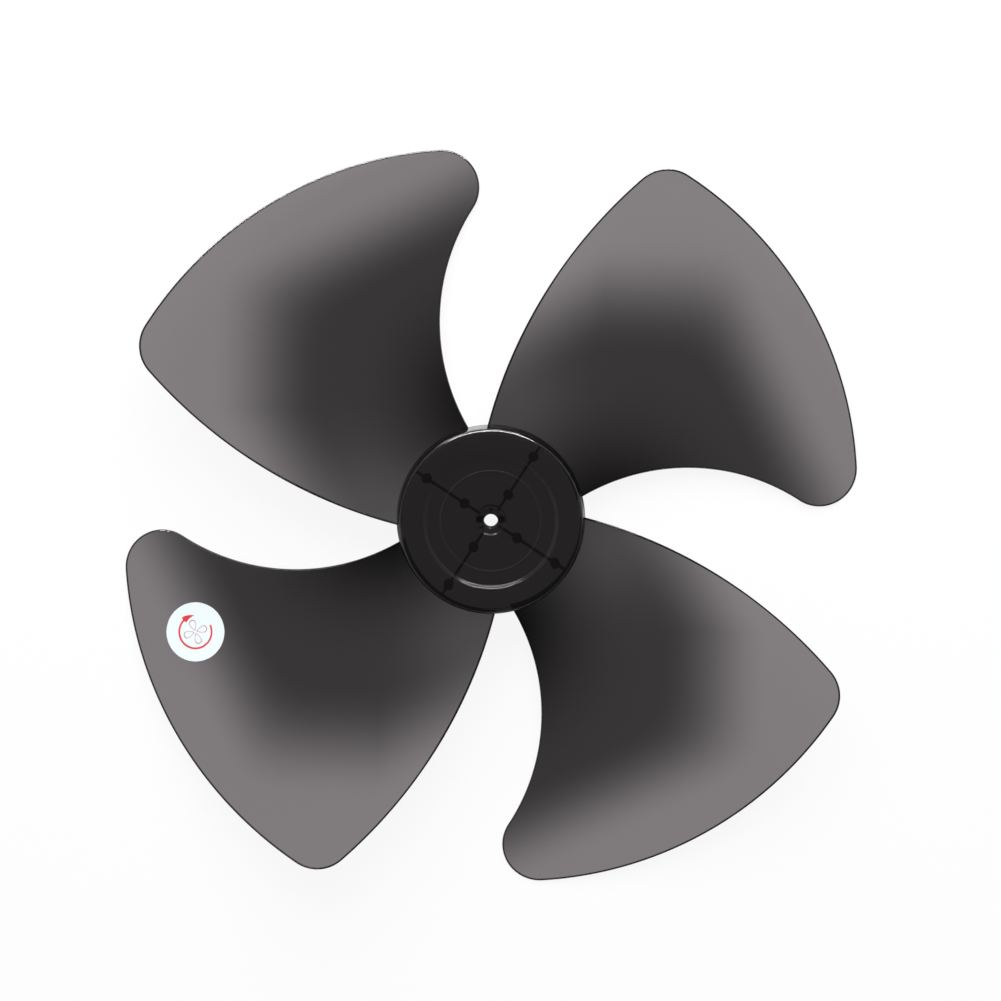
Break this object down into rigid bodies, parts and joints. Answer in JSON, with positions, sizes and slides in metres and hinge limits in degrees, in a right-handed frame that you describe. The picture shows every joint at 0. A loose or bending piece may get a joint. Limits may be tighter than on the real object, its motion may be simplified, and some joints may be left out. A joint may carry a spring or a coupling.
{
  "type": "axial fan impeller",
  "caption": "Moulded axial fan impeller: hub cup with a shaft bore and counterbore, forward-swept curved blades on its skirt, and a round label on one blade.",
  "frame": {"origin": "on the axis of rotation, in the plane of the leading corners that the impeller lies on", "axes": "+Z along the shaft axis towards the hub's front face and the delivered air; the label lies on the blade at -X -Y"},
  "size_m": [0.4302, 0.4302, 0.0513],
  "materials": {
    "smoke_plastic": "glossy, moulded, smoke grey and slightly see-through",
    "label_film": "satin printed film"
  },
  "bodies": {
    "root": {"impeller": "smoke_plastic", "label": "label_film"}
  },
  "joints": []
}
